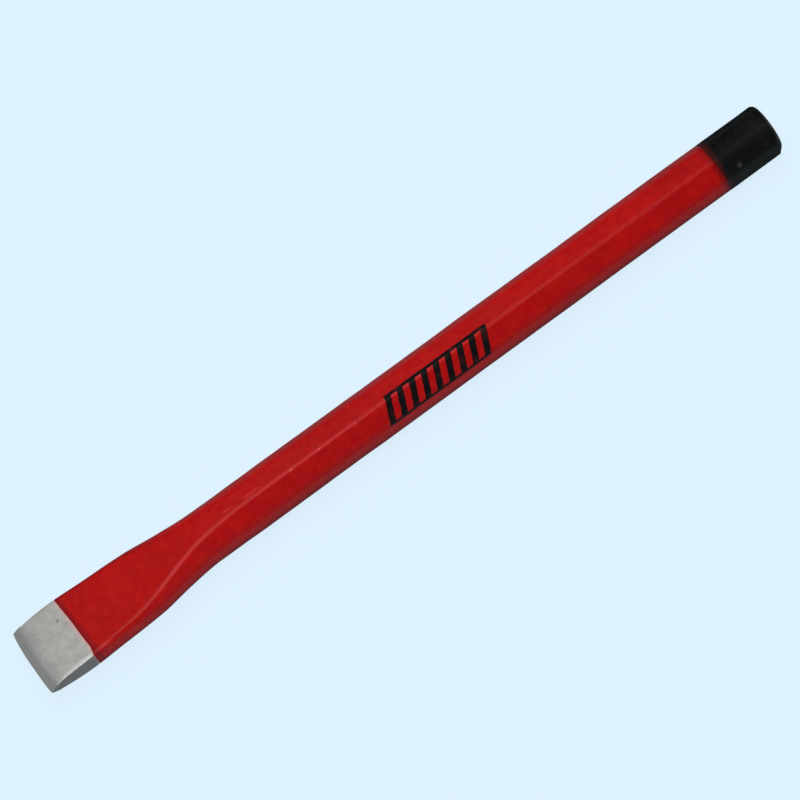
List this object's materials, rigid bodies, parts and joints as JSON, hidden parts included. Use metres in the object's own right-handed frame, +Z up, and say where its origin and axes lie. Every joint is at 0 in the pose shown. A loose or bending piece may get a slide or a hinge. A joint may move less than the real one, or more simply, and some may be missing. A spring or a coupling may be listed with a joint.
{
  "type": "cold chisel",
  "caption": "Flat cold chisel forged from octagonal bar: wide ground blade tapering from an octagonal shank, red lacquered body, black lacquered struck head.",
  "frame": {"origin": "centre of the bounding box in plan, on the floor plane of the lower octagon flat the tool lies on; the bar's axis runs 9 mm above it", "axes": "+X along the bar from the cutting edge to the struck head, +Z up, square to the blade's broad flat, +Y across the blade"},
  "size_m": [0.305, 0.027, 0.0181],
  "materials": {
    "ground_steel": "ground, satin, light handling marks",
    "red_lacquer": "semi-gloss dipped lacquer film on steel",
    "black_lacquer": "satin dipped lacquer film on steel",
    "black_ink": "satin screen-printing ink"
  },
  "bodies": {
    "root": {"steel_forging": "ground_steel", "red_lacquer_coat": "red_lacquer", "black_head_coat": "black_lacquer", "printed_mark": "black_ink"}
  },
  "joints": []
}
